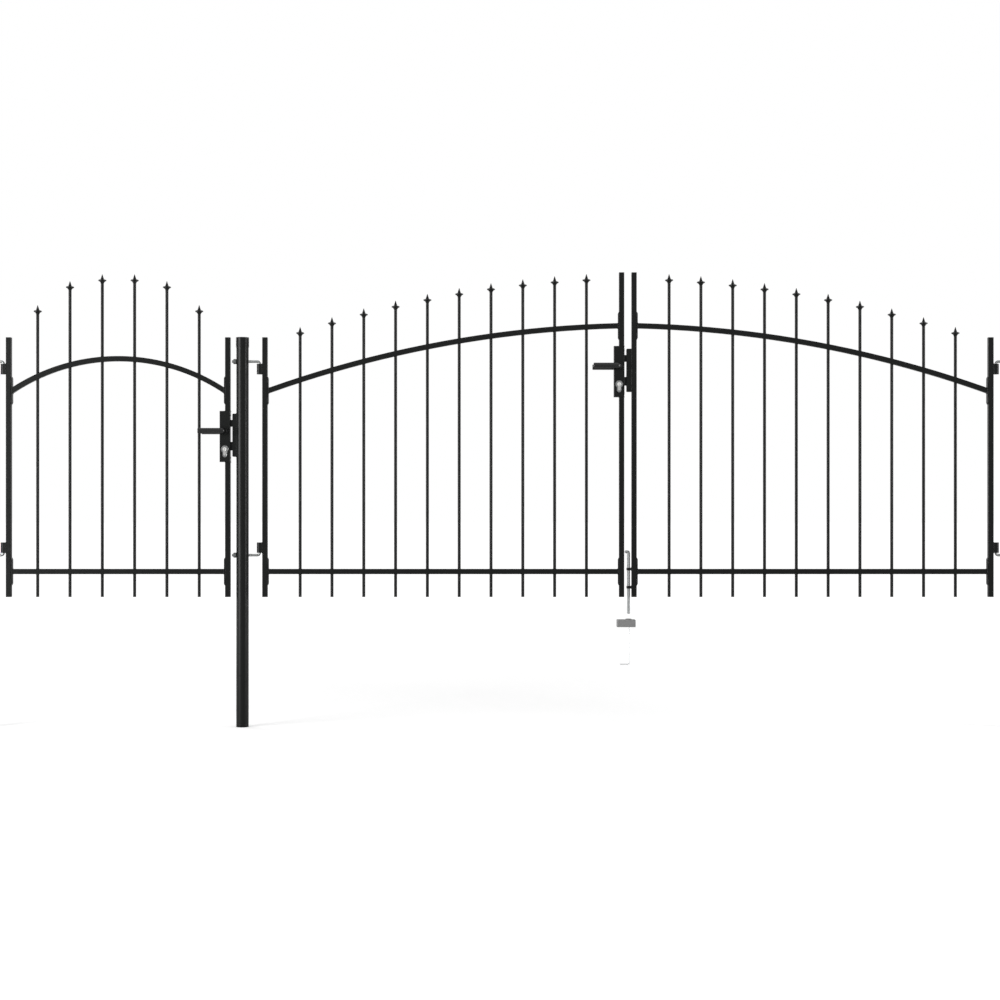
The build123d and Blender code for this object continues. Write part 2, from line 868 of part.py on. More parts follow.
pieces = {name: post(post_x, leaf) for name, (post_x, leaf) in posts.items()}
pieces["post_caps"] = post_caps()
pieces["hinge_bolts"] = hinge_bolts()
pieces["hinge_nuts"] = hinge_nuts()
pieces["middle_post_keep"] = middle_post_keep()
pieces["ground_stop"] = ground_stop()
pieces["ground_anchor"] = ground_anchor()
for leaf_name, leaf in leaves.items():
    for piece_name, make in [
        ("hinge_stile", hinge_stile),
        ("latch_stile", latch_stile),
        ("stile_plugs", stile_plugs),
        ("bottom_rail", bottom_rail),
        ("arch_rail", arch_rail),
        ("pickets", pickets),
        ("end_plates", end_plates),
        ("hinge_barrels", hinge_barrels),
    ]:
        pieces[f"{leaf_name}_{piece_name}"] = make(leaf)
    if leaf.lock:
        for piece_name, make in [
            ("lock_case", lock_case),
            ("lock_cylinder", lock_cylinder),
            ("lock_roses", lock_roses),
            ("lever", lever),
            ("latch_bolt", latch_bolt),
            ("deadbolt", deadbolt),
        ]:
            pieces[f"{leaf_name}_{piece_name}"] = make(leaf)
pieces["right_leaf_keep"] = right_leaf_keep()
pieces["right_leaf_bolt_guides"] = bolt_guides()
pieces["drop_bolt"] = drop_bolt()

os.makedirs("parts", exist_ok=True)
for name, piece in pieces.items():
    piece.label = name
    export_step(piece, f"parts/{name}.step")
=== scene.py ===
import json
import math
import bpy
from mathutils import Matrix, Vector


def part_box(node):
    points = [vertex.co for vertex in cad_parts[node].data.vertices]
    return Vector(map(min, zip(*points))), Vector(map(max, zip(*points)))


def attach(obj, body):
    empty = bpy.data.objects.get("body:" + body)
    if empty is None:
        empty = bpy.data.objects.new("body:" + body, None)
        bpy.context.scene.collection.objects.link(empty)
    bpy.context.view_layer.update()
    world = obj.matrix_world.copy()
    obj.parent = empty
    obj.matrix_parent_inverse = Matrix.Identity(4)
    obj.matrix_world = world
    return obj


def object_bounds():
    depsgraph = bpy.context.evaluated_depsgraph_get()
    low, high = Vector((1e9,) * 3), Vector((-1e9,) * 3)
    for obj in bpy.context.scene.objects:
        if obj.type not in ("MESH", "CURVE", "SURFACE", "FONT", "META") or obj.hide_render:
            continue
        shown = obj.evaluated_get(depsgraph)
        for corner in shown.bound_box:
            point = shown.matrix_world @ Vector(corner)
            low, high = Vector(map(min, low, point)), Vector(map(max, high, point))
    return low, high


bl_info = {
    "name": "Driveway Gate Finish",
    "version": (1, 0, 0),
    "blender": (4, 5, 0),
    "location": "3D View > Sidebar > Gate",
    "description": "Coatings, welds, threads and lock trim for a steel driveway gate",
    "category": "Object",
}

import bmesh
import bpy
from bpy.props import FloatProperty, FloatVectorProperty, IntProperty, PointerProperty
from mathutils import Matrix, Vector

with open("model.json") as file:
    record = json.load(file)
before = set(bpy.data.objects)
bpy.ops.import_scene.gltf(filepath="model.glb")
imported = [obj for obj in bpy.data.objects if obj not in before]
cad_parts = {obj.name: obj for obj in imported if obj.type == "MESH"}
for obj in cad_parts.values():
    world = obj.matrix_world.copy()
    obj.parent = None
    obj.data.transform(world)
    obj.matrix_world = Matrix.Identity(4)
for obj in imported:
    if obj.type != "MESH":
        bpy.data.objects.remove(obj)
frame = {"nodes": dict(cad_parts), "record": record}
cad_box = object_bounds()

LEAVES = ("wicket", "left_leaf", "right_leaf")
LOCKED_LEAVES = ("wicket", "left_leaf")
POSTS = ("left_post", "middle_post", "right_post")


# Properties


def colour_property(name, description, default):
    """A colour that can be changed in the panel."""
    return FloatVectorProperty(
        name=name,
        description=description,
        subtype="COLOR",
        size=3,
        min=0,
        max=1,
        default=default,
    )


class GateCoatingSettings(bpy.types.PropertyGroup):
    """Colours of the coatings and metals."""

    powder: colour_property(
        "Powder coat",
        "Colour of the black powder coat on posts and leaves",
        (0.0062, 0.0068, 0.0065),
    )
    plastic: colour_property("Plastic", "Colour of the caps and plugs", (0.005, 0.0052, 0.0052))
    zinc: colour_property("Zinc", "Colour of the hinge bolts and the locks' screws", (0.25, 0.258, 0.256))
    # The nuts' zinc and the anchor's zinc are darker and paler copies of the one zinc: painted shade and
    # painted light
    shaded_zinc: colour_property("Dull zinc", "Colour of the nuts and washers", (0.125, 0.13, 0.128))
    rod_zinc: colour_property("Rod zinc", "Colour of the drop bolt", (0.3, 0.31, 0.31))
    lit_zinc: colour_property("Bright zinc", "Colour of the ground anchor", (0.68, 0.69, 0.69))
    stop_grey: colour_property(
        "Ground stop",
        "Colour of the dull grey ground stop",
        (0.19, 0.19, 0.19),
    )
    nickel: colour_property(
        "Nickel",
        "Colour of the key cylinders and their plates",
        (0.23, 0.235, 0.235),
    )
    # The bright core is a paler copy of the cylinders' nickel: a painted highlight
    core: colour_property(
        "Bright core",
        "Colour of the turning cores of the key cylinders",
        (0.82, 0.82, 0.8),
    )
    lever: colour_property("Lever", "Colour of the levers", (0.006, 0.0062, 0.0062))


def length_property(name, description, default, smallest=0.0):
    """A length that can be changed in the panel."""
    return FloatProperty(
        name=name,
        description=description,
        subtype="DISTANCE",
        min=smallest,
        default=default,
    )


class GateWeldSettings(bpy.types.PropertyGroup):
    """Sizes of the weld beads."""

    bead: length_property(
        "Bead radius",
        "Radius of the beads between tubes, plates and barrels",
        0.0017,
        smallest=0.0005,
    )
    picket_bead: length_property(
        "Picket bead radius",
        "Radius of the beads around the pickets",
        0.001,
        smallest=0.0003,
    )
    ripple: length_property(
        "Ripple pitch",
        "Distance from one ripple of a bead to the next",
        0.0022,
        smallest=0.0005,
    )
    seed: IntProperty(
        name="Seed",
        description="Seed of the beads' unevenness",
        default=7,
    )


class GateThreadSettings(bpy.types.PropertyGroup):
    """Sizes of the screw thread on the hinge bolts."""

    pitch: length_property(
        "Pitch",
        "Distance from one turn of the thread to the next",
        0.0015,
        smallest=0.0005,
    )
    past_post: length_property(
        "Past the post",
        "Length of thread on the hinge side of the post",
        0.013,
    )


class GateLockSettings(bpy.types.PropertyGroup):
    """Sizes of the small parts on the locks."""

    screw_diameter: length_property("Screw head", "Diameter of the domed screw heads", 0.0075)
    rotor_diameter: length_property(
        "Rotor",
        "Diameter of the turning core in each key cylinder",
        0.0125,
    )
    keyway_height: length_property("Keyway", "Height of the key slot", 0.0085)


class GateStageSettings(bpy.types.PropertyGroup):
    """Where the camera stands and how bright the studio is."""

    camera_place: FloatVectorProperty(
        name="Camera",
        description="Where the camera stands",
        subtype="TRANSLATION",
        size=3,
        default=(0.9926, -6.67, 0.8735),
    )
    lens: FloatProperty(
        name="Lens",
        description="Focal length in millimetres on a sensor 36 mm wide",
        default=62.3,
    )
    ambient: FloatProperty(
        name="Ambient",
        description="Strength of the even light from all round",
        default=0.38,
    )
    lamps: FloatProperty(
        name="Lamps",
        description="Brightness of the soft lamps, as a share of their own",
        default=1.0,
    )


# Shader node groups


# How fine the specks are, and the band of the noise in which they fade in
SPECK_SCALE = 700.0
SPECK_BAND = (0.68, 0.78)


def new_tree(name, kind, inputs, outputs):
    """A node group with named sockets, and its input and output nodes."""
    tree = bpy.data.node_groups.new(name, kind)
    for label, socket, default in inputs:
        item = tree.interface.new_socket(name=label, in_out="INPUT", socket_type=socket)
        if default is not None:
            item.default_value = default
    for label, socket in outputs:
        tree.interface.new_socket(name=label, in_out="OUTPUT", socket_type=socket)
    entry = tree.nodes.new("NodeGroupInput")
    leave = tree.nodes.new("NodeGroupOutput")
    return tree, entry, leave


def node(tree, kind, links=(), **settings):
    """A new node with its settings, its inputs set to a value or linked to a socket."""
    made = tree.nodes.new(kind)
    for key, value in settings.items():
        setattr(made, key, value)
    for key, source in dict(links).items():
        if isinstance(source, bpy.types.NodeSocket):
            tree.links.new(source, made.inputs[key])
        else:
            made.inputs[key].default_value = source
    return made


def maths(tree, operation, first, second=None):
    """The outcome of a sum on one or two values or sockets."""
    links = {0: first} if second is None else {0: first, 1: second}
    return node(tree, "ShaderNodeMath", links, operation=operation).outputs[0]


def ranged(tree, value, low, high, start, stop):
    """A value carried over from the range low to high on to the range start to stop."""
    links = {0: value, 1: low, 2: high, 3: start, 4: stop}
    return node(tree, "ShaderNodeMapRange", links).outputs[0]


def blended(tree, share, first, second):
    """A blend of two colours."""
    links = {0: share, 6: first, 7: second}
    return node(tree, "ShaderNodeMix", links, data_type="RGBA").outputs[2]


def object_place(tree):
    """The object's own coordinates, in which every finish is laid out."""
    return node(tree, "ShaderNodeTexCoord").outputs["Object"]


def noise(tree, place, scale, detail):
    """A cloudy value over the surface."""
    links = {"Vector": place, "Scale": scale, "Detail": detail}
    return node(tree, "ShaderNodeTexNoise", links).outputs["Fac"]


def orange_peel_group():
    """The fine pebbled skin of sprayed and baked coatings, with soft waves under it."""
    tree, entry, leave = new_tree(
        "Orange Peel",
        "ShaderNodeTree",
        [
            ("Pebble Scale", "NodeSocketFloat", 900.0),
            ("Wave Scale", "NodeSocketFloat", 60.0),
            ("Wave Share", "NodeSocketFloat", 0.35),
        ],
        [("Height", "NodeSocketFloat"), ("Cloud", "NodeSocketFloat")],
    )
    place = object_place(tree)
    pebble = noise(tree, place, entry.outputs["Pebble Scale"], 2.0)
    wave = noise(tree, place, entry.outputs["Wave Scale"], 3.0)
    mix = node(tree, "ShaderNodeMix", {0: entry.outputs["Wave Share"], 2: pebble, 3: wave})
    tree.links.new(mix.outputs[0], leave.inputs["Height"])
    tree.links.new(wave, leave.inputs["Cloud"])
    return tree


def tint_group():
    """A colour that drifts a little over the surface, with sparse paler specks."""
    tree, entry, leave = new_tree(
        "Uneven Tint",
        "ShaderNodeTree",
        [
            ("Colour", "NodeSocketColor", (0.5, 0.5, 0.5, 1.0)),
            ("Drift", "NodeSocketFloat", 0.1),
            ("Drift Scale", "NodeSocketFloat", 9.0),
            ("Speck Share", "NodeSocketFloat", 0.0),
            ("Speck Colour", "NodeSocketColor", (0.5, 0.5, 0.5, 1.0)),
        ],
        [("Colour", "NodeSocketColor")],
    )
    place = object_place(tree)
    drift = noise(tree, place, entry.outputs["Drift Scale"], 4.0)
    swing = maths(tree, "MULTIPLY", maths(tree, "SUBTRACT", drift, 0.5), entry.outputs["Drift"])
    toned = node(
        tree,
        "ShaderNodeVectorMath",
        {0: entry.outputs["Colour"], "Scale": maths(tree, "ADD", swing, 1.0)},
        operation="SCALE",
    )
    mask = ranged(tree, noise(tree, place, SPECK_SCALE, 1.0), *SPECK_BAND, 0.0, 1.0)
    share = maths(tree, "MULTIPLY", mask, entry.outputs["Speck Share"])
    mixed = blended(tree, share, toned.outputs[0], entry.outputs["Speck Colour"])
    tree.links.new(mixed, leave.inputs["Colour"])
    return tree


def spangle_group():
    """The faint crystal patches of a zinc coat, as a value for each patch."""
    tree, entry, leave = new_tree(
        "Zinc Spangle",
        "ShaderNodeTree",
        [("Patch Scale", "NodeSocketFloat", 260.0)],
        [("Patch", "NodeSocketFloat")],
    )
    cells = node(
        tree,
        "ShaderNodeTexVoronoi",
        {"Vector": object_place(tree), "Scale": entry.outputs["Patch Scale"]},
    )
    parts = node(tree, "ShaderNodeSeparateColor", {0: cells.outputs["Color"]})
    tree.links.new(parts.outputs[0], leave.inputs["Patch"])
    return tree


# Materials


FINISH_PREFIX = "finish_"
# The band of the waves over which a finish goes from its smoother to its rougher end
CLOUD_BAND = (0.3, 0.7)
# How far a zinc patch's roughness lies above or below its neighbours'
SPANGLE_SPREAD = 0.05
# The tint of a metal's grazing reflections, darkened: painted shade standing for reflected dark
# surroundings
METAL_EDGE_SHADE = (0.45, 0.45, 0.45)


def painted_highlight_face(tree, colour_socket, look):
    """Mixes in a brighter colour, a painted highlight, where a surface stands further out along Y than
    its plate.
    """
    axes = node(tree, "ShaderNodeSeparateXYZ", {0: object_place(tree)})
    depth = maths(tree, "ABSOLUTE", axes.outputs["Y"])
    mask = ranged(tree, depth, *look["highlight_from"], 0.0, 1.0)
    return blended(tree, mask, colour_socket, (*look["highlight_colour"], 1.0))


def coated_material(name, colour, look, groups):
    """One finish: an uneven tint, a roughness that drifts, and a fine skin as bump."""
    material = bpy.data.materials.new(FINISH_PREFIX + name)
    material.use_nodes = True
    tree = material.node_tree
    tree.nodes.clear()
    tint = node(
        tree,
        "ShaderNodeGroup",
        {
            "Colour": (*colour, 1.0),
            "Drift": look["drift"],
            "Speck Share": look["specks"],
            "Speck Colour": (*look["speck_colour"], 1.0),
        },
        node_tree=groups["tint"],
    )
    skin = node(tree, "ShaderNodeGroup", {"Pebble Scale": look["pebble_scale"]}, node_tree=groups["skin"])
    rough = ranged(tree, skin.outputs["Cloud"], *CLOUD_BAND, *look["rough"])
    bump = node(
        tree,
        "ShaderNodeBump",
        {"Strength": look["bump"], "Distance": look["relief"], "Height": skin.outputs["Height"]},
    )
    shader = node(
        tree,
        "ShaderNodeBsdfPrincipled",
        {
            "Base Color": tint.outputs["Colour"],
            "Roughness": rough,
            "Normal": bump.outputs["Normal"],
            "Metallic": look["metal"],
            "Specular IOR Level": look["specular"],
        },
    )
    if look["metal"]:
        # The darkened edge tint is painted shade in the metals' reflections
        shader.inputs["Specular Tint"].default_value = (*look.get("edge", METAL_EDGE_SHADE), 1.0)
        patch = node(tree, "ShaderNodeGroup", node_tree=groups["spangle"])
        spread = ranged(tree, patch.outputs["Patch"], 0.0, 1.0, -SPANGLE_SPREAD, SPANGLE_SPREAD)
        tree.links.new(maths(tree, "ADD", rough, spread), shader.inputs["Roughness"])
    # Painted highlight: a brighter colour on the faces that stand furthest out along Y
    if "highlight_from" in look:
        tree.links.new(painted_highlight_face(tree, tint.outputs["Colour"], look), shader.inputs["Base Color"])
    node(tree, "ShaderNodeOutputMaterial", {"Surface": shader.outputs[0]})
    return material


# Each finish: its unevenness, its specks, the scale and depth of its skin, and its gloss
LOOKS = {
    "powder": {
        "drift": 0.25, "specks": 0.25, "speck_colour": (0.012, 0.0125, 0.012), "pebble_scale": 1100.0,
        "rough": (0.27, 0.33), "bump": 0.3, "relief": 0.00004, "metal": 0.0, "specular": 0.13,
    },
    "plastic": {
        "drift": 0.15, "specks": 0.1, "speck_colour": (0.03, 0.03, 0.03), "pebble_scale": 2200.0,
        "rough": (0.3, 0.38), "bump": 0.3, "relief": 0.00003, "metal": 0.0, "specular": 0.14,
    },
    "weld": {
        "drift": 0.3, "specks": 0.3, "speck_colour": (0.03, 0.031, 0.03), "pebble_scale": 1300.0,
        "rough": (0.28, 0.36), "bump": 0.4, "relief": 0.00008, "metal": 0.0, "specular": 0.14,
    },
    "zinc": {
        "drift": 0.12, "specks": 0.15, "speck_colour": (0.62, 0.63, 0.63), "pebble_scale": 1500.0,
        "rough": (0.3, 0.4), "bump": 0.25, "relief": 0.00003, "metal": 1.0, "specular": 0.5,
    },
    # A darker copy of the zinc: painted shade on the nuts
    "shaded_zinc": {
        "drift": 0.14, "specks": 0.2, "speck_colour": (0.3, 0.3, 0.3), "pebble_scale": 1500.0,
        "rough": (0.36, 0.46), "bump": 0.25, "relief": 0.00003, "metal": 1.0, "specular": 0.5,
    },
    "rod_zinc": {
        "drift": 0.12, "specks": 0.15, "speck_colour": (0.5, 0.5, 0.5), "pebble_scale": 1500.0,
        "rough": (0.38, 0.48), "bump": 0.25, "relief": 0.00003, "metal": 0.3, "specular": 0.3,
    },
    # A paler copy of the zinc: painted light on the anchor
    "lit_zinc": {
        "drift": 0.05, "specks": 0.1, "speck_colour": (0.9, 0.9, 0.9), "pebble_scale": 1500.0,
        "rough": (0.3, 0.4), "bump": 0.2, "relief": 0.00003, "metal": 1.0, "specular": 0.5,
    },
    "stop": {
        "drift": 0.14, "specks": 0.4, "speck_colour": (0.32, 0.32, 0.32), "pebble_scale": 420.0,
        "rough": (0.55, 0.7), "bump": 0.6, "relief": 0.0004, "metal": 0.0, "specular": 0.4,
    },
    "nickel": {
        # The nickel's outermost faces get a brighter colour: a painted highlight
        "highlight_from": (0.0178, 0.0184), "highlight_colour": (0.5, 0.5, 0.49), "edge": (0.7, 0.7, 0.7),
        "drift": 0.06, "specks": 0.05, "speck_colour": (0.8, 0.8, 0.78), "pebble_scale": 2600.0,
        "rough": (0.2, 0.28), "bump": 0.12, "relief": 0.0001, "metal": 1.0, "specular": 0.5,
    },
    # A paler copy of the nickel: a painted highlight on the cylinders' cores
    "core": {
        "drift": 0.05, "specks": 0.05, "speck_colour": (0.8, 0.8, 0.78), "pebble_scale": 2600.0,
        "rough": (0.14, 0.2), "bump": 0.1, "relief": 0.0001, "metal": 1.0, "specular": 0.5,
    },
    "lever": {
        "drift": 0.1, "specks": 0.1, "speck_colour": (0.05, 0.05, 0.05), "pebble_scale": 1600.0,
        "rough": (0.15, 0.19), "bump": 0.15, "relief": 0.00002, "metal": 0.0, "specular": 0.36,
    },
}

# Lit and shaded copies of the one zinc: painted light makes it brightest on the buried anchor, painted
# shade makes it dullest on the nuts
FINISH_OF_NODE = {
    "ground_anchor": "lit_zinc",
    "drop_bolt": "rod_zinc",
    "hinge_nuts": "shaded_zinc",
}
FINISH_OF_SLOT = {
    "black_powder_coat": "powder",
    "black_plastic": "plastic",
    "zinc_plate": "zinc",
    "grey_stop": "stop",
    "nickel": "nickel",
    "lever_black": "lever",
}


def material_named(name):
    """A finish that the coating operator has made."""
    found = bpy.data.materials.get(FINISH_PREFIX + name)
    if found is None:
        raise RuntimeError(f"the finish {name} is made by the coating operator first")
    return found


# Geometry Nodes trees


# The spacing of a bead's rings, as a share of its ripple pitch
RING_STEP = 0.4
# The depth of a bead's ripples and its size between them, as shares of its radius
RIPPLE_DEPTH = 0.22
BEAD_BASE = 0.9
# How fine the unevenness of a bead is
UNEVEN_SCALE = 180.0
# Half the ridge of a screw thread, as a share of its pitch
RIDGE_SHARE = 0.36
# How far a picket's ring looks for the rail
RAY_LENGTH = 3.0
# Sockets that every tree has
GEOMETRY_IN = ("Geometry", "NodeSocketGeometry", None)
MATERIAL_IN = ("Material", "NodeSocketMaterial", None)
GEOMETRY_OUT = ("Geometry", "NodeSocketGeometry")


def ended(tree, entry, leave, geometry):
    """Ends a tree with real geometry in the material that was given."""
    real = node(tree, "GeometryNodeRealizeInstances", {0: geometry})
    finish = node(
        tree,
        "GeometryNodeSetMaterial",
        {"Geometry": real.outputs[0], "Material": entry.outputs["Material"]},
    )
    tree.links.new(finish.outputs[0], leave.inputs[0])
    return tree


def weld_bead_tree():
    """A rippled bead along each edge or curve of the geometry that goes in."""
    tree, entry, leave = new_tree(
        "Weld Bead",
        "GeometryNodeTree",
        [
            GEOMETRY_IN,
            ("Bead Radius", "NodeSocketFloat", 0.0017),
            ("Ripple Pitch", "NodeSocketFloat", 0.0022),
            ("Unevenness", "NodeSocketFloat", 0.35),
            ("Seed", "NodeSocketInt", 7),
            MATERIAL_IN,
        ],
        [GEOMETRY_OUT],
    )
    pitch = entry.outputs["Ripple Pitch"]
    path = node(tree, "GeometryNodeMeshToCurve", {"Mesh": entry.outputs["Geometry"]})
    step = maths(tree, "MULTIPLY", pitch, RING_STEP)
    even = node(
        tree,
        "GeometryNodeResampleCurve",
        {"Curve": path.outputs[0], "Length": step},
        mode="LENGTH",
    )
    along = node(tree, "GeometryNodeSplineParameter").outputs["Length"]
    saw = maths(tree, "FRACT", maths(tree, "DIVIDE", along, pitch))
    ripple = maths(tree, "MULTIPLY", saw, RIPPLE_DEPTH)
    cloud = node(
        tree,
        "ShaderNodeTexNoise",
        {"W": entry.outputs["Seed"], "Scale": UNEVEN_SCALE, "Detail": 1.0},
        noise_dimensions="4D",
    )
    centred = maths(tree, "SUBTRACT", cloud.outputs[0], 0.5)
    swing = maths(tree, "MULTIPLY", centred, entry.outputs["Unevenness"])
    whole = maths(tree, "ADD", maths(tree, "ADD", swing, ripple), BEAD_BASE)
    size = maths(tree, "MULTIPLY", whole, entry.outputs["Bead Radius"])
    ring = node(tree, "GeometryNodeCurvePrimitiveCircle", {"Resolution": 8, "Radius": 1.0})
    bead = node(
        tree,
        "GeometryNodeCurveToMesh",
        {"Curve": even.outputs[0], "Profile Curve": ring.outputs[0], "Scale": size, "Fill Caps": True},
    )
    smooth = node(tree, "GeometryNodeSetShadeSmooth", {0: bead.outputs[0]})
    return ended(tree, entry, leave, smooth.outputs[0])


def picket_ring_tree(bead_tree):
    """A bead around each point, dropped or lifted on to the rail that the picket passes."""
    tree, entry, leave = new_tree(
        "Picket Weld",
        "GeometryNodeTree",
        [
            GEOMETRY_IN,
            ("Rail", "NodeSocketObject", None),
            ("Ring Radius", "NodeSocketFloat", 0.0063),
            ("Reach", "NodeSocketFloat", 1.0),
            ("Bead Radius", "NodeSocketFloat", 0.001),
            ("Ripple Pitch", "NodeSocketFloat", 0.0022),
            ("Seed", "NodeSocketInt", 7),
            MATERIAL_IN,
        ],
        [GEOMETRY_OUT],
    )
    rail = node(tree, "GeometryNodeObjectInfo", {"Object": entry.outputs["Rail"]})
    ring = node(
        tree,
        "GeometryNodeCurvePrimitiveCircle",
        {"Resolution": 20, "Radius": entry.outputs["Ring Radius"]},
    )
    rings = node(
        tree,
        "GeometryNodeInstanceOnPoints",
        {"Points": entry.outputs["Geometry"], "Instance": ring.outputs[0]},
    )
    real = node(tree, "GeometryNodeRealizeInstances", {0: rings.outputs[0]})
    mesh = node(tree, "GeometryNodeCurveToMesh", {"Curve": real.outputs[0]})
    ends = []
    for way in (-1.0, 1.0):
        shift = node(tree, "ShaderNodeCombineXYZ", {"Z": -way})
        away = node(
            tree,
            "ShaderNodeVectorMath",
            {0: shift.outputs[0], "Scale": entry.outputs["Reach"]},
            operation="SCALE",
        )
        moved = node(
            tree,
            "GeometryNodeSetPosition",
            {"Geometry": mesh.outputs[0], "Offset": away.outputs[0]},
        )
        hit = node(
            tree,
            "GeometryNodeRaycast",
            {
                "Target Geometry": rail.outputs["Geometry"],
                "Ray Direction": (0.0, 0.0, way),
                "Ray Length": RAY_LENGTH,
            },
        )
        seated = node(
            tree,
            "GeometryNodeSetPosition",
            {"Geometry": moved.outputs[0], "Position": hit.outputs["Hit Position"]},
        )
        ends.append(seated.outputs[0])
    joined = node(tree, "GeometryNodeJoinGeometry")
    for end in ends:
        tree.links.new(end, joined.inputs[0])
    passed_on = {
        label: entry.outputs[label] for label in ("Bead Radius", "Ripple Pitch", "Seed", "Material")
    }
    beads = node(
        tree,
        "GeometryNodeGroup",
        {"Geometry": joined.outputs[0], **passed_on},
        node_tree=bead_tree,
    )
    return ended(tree, entry, leave, beads.outputs[0])


def thread_tree():
    """A screw thread along +X from each point."""
    tree, entry, leave = new_tree(
        "Screw Thread",
        "GeometryNodeTree",
        [
            GEOMETRY_IN,
            ("Rod Radius", "NodeSocketFloat", 0.005),
            ("Pitch", "NodeSocketFloat", 0.0015),
            ("Length", "NodeSocketFloat", 0.08),
            MATERIAL_IN,
        ],
        [GEOMETRY_OUT],
    )
    radius = entry.outputs["Rod Radius"]
    pitch = entry.outputs["Pitch"]
    length = entry.outputs["Length"]
    helix = node(
        tree,
        "GeometryNodeCurveSpiral",
        {
            "Resolution": 20,
            "Rotations": maths(tree, "DIVIDE", length, pitch),
            "Start Radius": radius,
            "End Radius": radius,
            "Height": length,
        },
    )
    ridge = node(
        tree,
        "GeometryNodeCurvePrimitiveCircle",
        {"Resolution": 4, "Radius": maths(tree, "MULTIPLY", pitch, RIDGE_SHARE)},
    )
    thread = node(
        tree,
        "GeometryNodeCurveToMesh",
        {"Curve": helix.outputs[0], "Profile Curve": ridge.outputs[0], "Fill Caps": True},
    )
    turned = node(
        tree,
        "GeometryNodeTransform",
        {"Geometry": thread.outputs[0], "Rotation": (0.0, math.pi / 2, 0.0)},
    )
    placed = node(
        tree,
        "GeometryNodeInstanceOnPoints",
        {"Points": entry.outputs["Geometry"], "Instance": turned.outputs[0]},
    )
    return ended(tree, entry, leave, placed.outputs[0])


def screw_tree():
    """One screw head on each point, facing along the point's own direction."""
    tree, entry, leave = new_tree(
        "Screw Heads",
        "GeometryNodeTree",
        [
            GEOMETRY_IN,
            ("Head", "NodeSocketObject", None),
            ("Seed", "NodeSocketInt", 3),
            MATERIAL_IN,
        ],
        [GEOMETRY_OUT],
    )
    head = node(tree, "GeometryNodeObjectInfo", {"Object": entry.outputs["Head"]})
    facing = node(tree, "GeometryNodeInputNamedAttribute", {"Name": "facing"}, data_type="FLOAT_VECTOR")
    turn = node(
        tree,
        "FunctionNodeRandomValue",
        {"Seed": entry.outputs["Seed"], 2: 0.0, 3: math.pi / 2},
        data_type="FLOAT",
    )
    aligned = node(
        tree,
        "FunctionNodeAlignRotationToVector",
        {"Vector": facing.outputs[0]},
        axis="Z",
    )
    spin = node(tree, "ShaderNodeCombineXYZ", {"Z": turn.outputs[1]})
    spun = node(
        tree,
        "FunctionNodeRotateRotation",
        {"Rotation": aligned.outputs[0], 1: spin.outputs[0]},
        rotation_space="LOCAL",
    )
    placed = node(
        tree,
        "GeometryNodeInstanceOnPoints",
        {
            "Points": entry.outputs["Geometry"],
            "Instance": head.outputs["Geometry"],
            "Rotation": spun.outputs[0],
        },
    )
    return ended(tree, entry, leave, placed.outputs[0])


def linked(name, data):
    """A new object of the scene."""
    made = bpy.data.objects.new(name, data)
    bpy.context.scene.collection.objects.link(made)
    return made


def grown(name, vertices, edges, tree, values, facings=None):
    """The plain mesh that a tree makes from some points or edges."""
    seed_mesh = bpy.data.meshes.new(name + "_paths")
    seed_mesh.from_pydata(vertices, edges, [])
    if facings:
        attribute = seed_mesh.attributes.new("facing", "FLOAT_VECTOR", "POINT")
        attribute.data.foreach_set("vector", [value for facing in facings for value in facing])
    carrier = linked(name + "_paths", seed_mesh)
    modifier = carrier.modifiers.new(tree.name, "NODES")
    modifier.node_group = tree
    sockets = {
        item.name: item.identifier
        for item in tree.interface.items_tree
        if item.item_type == "SOCKET" and item.in_out == "INPUT"
    }
    for label, value in values.items():
        modifier[sockets[label]] = value
    bpy.context.view_layer.update()
    shape = carrier.evaluated_get(bpy.context.evaluated_depsgraph_get())
    mesh = bpy.data.meshes.new_from_object(shape)
    carrier.modifiers.remove(modifier)
    bpy.data.objects.remove(carrier)
    if not mesh.polygons:
        raise RuntimeError(f"{name} came out empty")
    mesh.name = name
    return linked(name, mesh)


def settled(piece, body):
    """Fastens a finished piece to its body."""
    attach(piece, body)


# Places read from the frame


# Corners closer together than this are one
SAME_CORNER = 1e-6
# A corner closer to a plate than this lies on it
TOUCHING = 0.0004


def points_of(name):
    """The corners of a node's mesh."""
    return [vertex.co.copy() for vertex in frame["nodes"][name].data.vertices]


def middle_x(low, high):
    """The place half-way between two corners, along the gate."""
    return (low.x + high.x) / 2


def islands(name):
    """The boxes of a node's separate solids, from left to right and bottom to top."""
    mesh = frame["nodes"][name].data
    shape = bmesh.new()
    shape.from_mesh(mesh)
    bmesh.ops.remove_doubles(shape, verts=shape.verts, dist=SAME_CORNER)
    seen = set()
    boxes = []
    for start in shape.verts:
        if start.index in seen:
            continue
        stack = [start]
        seen.add(start.index)
        places = []
        while stack:
            corner = stack.pop()
            places.append(corner.co.copy())
            for edge in corner.link_edges:
                other = edge.other_vert(corner)
                if other.index not in seen:
                    seen.add(other.index)
                    stack.append(other)
        low = Vector([min(place[i] for place in places) for i in range(3)])
        high = Vector([max(place[i] for place in places) for i in range(3)])
        boxes.append((low, high))
    shape.free()
    return sorted(boxes, key=lambda box: (round(box[0].x, 4), box[0].z))


def hull(flat_points):
    """The convex outline of some flat points, in order."""
    ordered = sorted(set((round(a, 6), round(b, 6)) for a, b in flat_points))

    def half(places):
        chain = []
        for place in places:
            while len(chain) > 1:
                (ax, ay), (bx, by) = chain[-2], chain[-1]
                if (bx - ax) * (place[1] - ay) - (by - ay) * (place[0] - ax) > 0:
                    break
                chain.pop()
            chain.append(place)
        return chain

    return half(ordered)[:-1] + half(ordered[::-1])[:-1]


